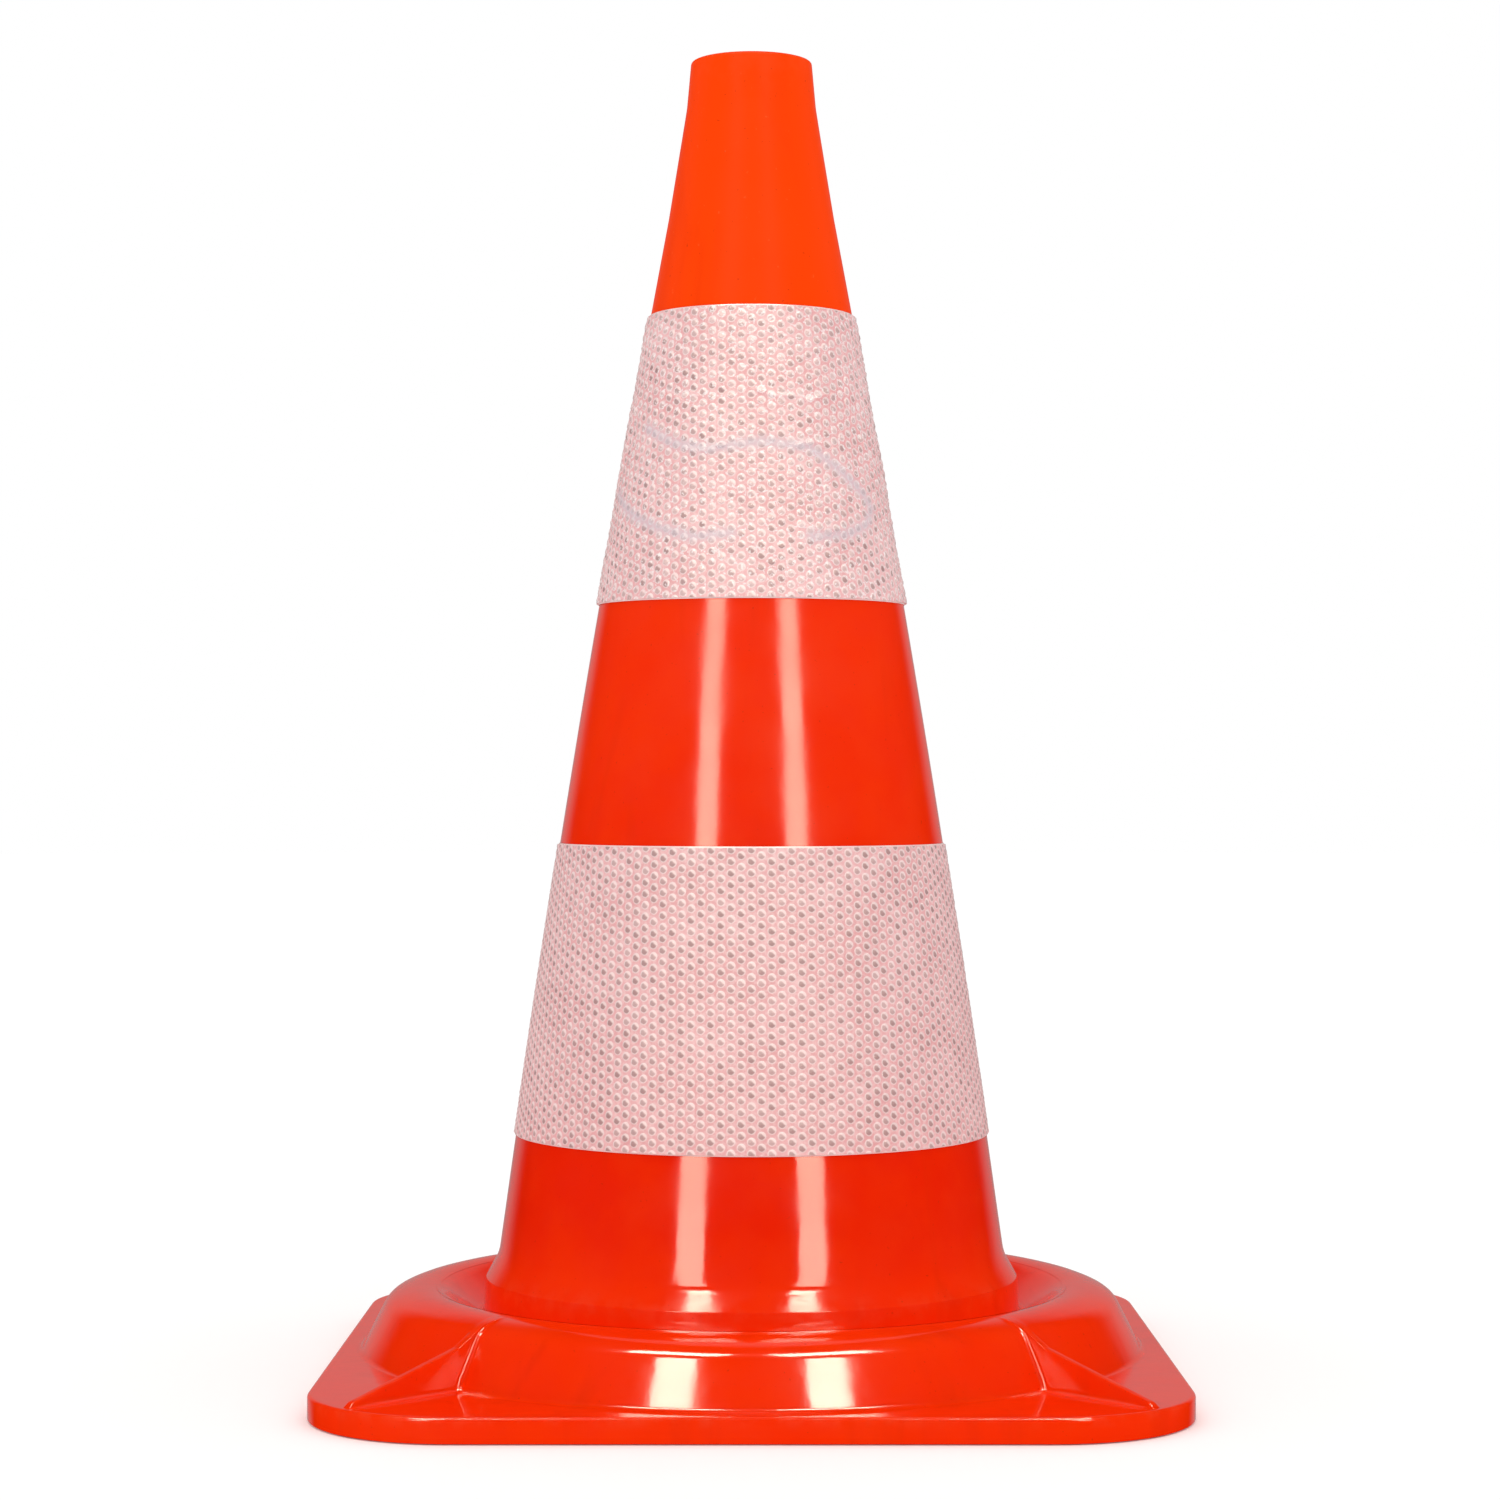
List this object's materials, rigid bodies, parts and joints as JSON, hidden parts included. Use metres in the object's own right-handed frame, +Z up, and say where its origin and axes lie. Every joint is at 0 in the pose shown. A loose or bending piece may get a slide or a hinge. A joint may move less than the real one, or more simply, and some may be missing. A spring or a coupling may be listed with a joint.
{
  "type": "traffic cone",
  "caption": "Hollow one-piece plastic traffic cone on a square base with a raised ring and corner fins, wrapped in reflective honeycomb sleeves.",
  "frame": {"origin": "on the ground, under the cone's axis, at the centre of the base's underside", "axes": "+Z up along the cone's axis; -Y is the front; +Y is the back, where the sleeves' ends lap"},
  "size_m": [0.282, 0.282, 0.45],
  "materials": {
    "orange_pvc": "glossy fluorescent orange flexible PVC",
    "carrier_film": "smooth translucent film, tinted by the orange behind it",
    "prismatic_film": "clear micro-prismatic film with an embossed honeycomb seal lattice"
  },
  "bodies": {
    "root": {"cone_body": "orange_pvc", "lower_sleeve_carrier": "carrier_film", "lower_sleeve_face": "prismatic_film", "upper_sleeve_carrier": "carrier_film", "upper_sleeve_face": "prismatic_film"}
  },
  "joints": []
}
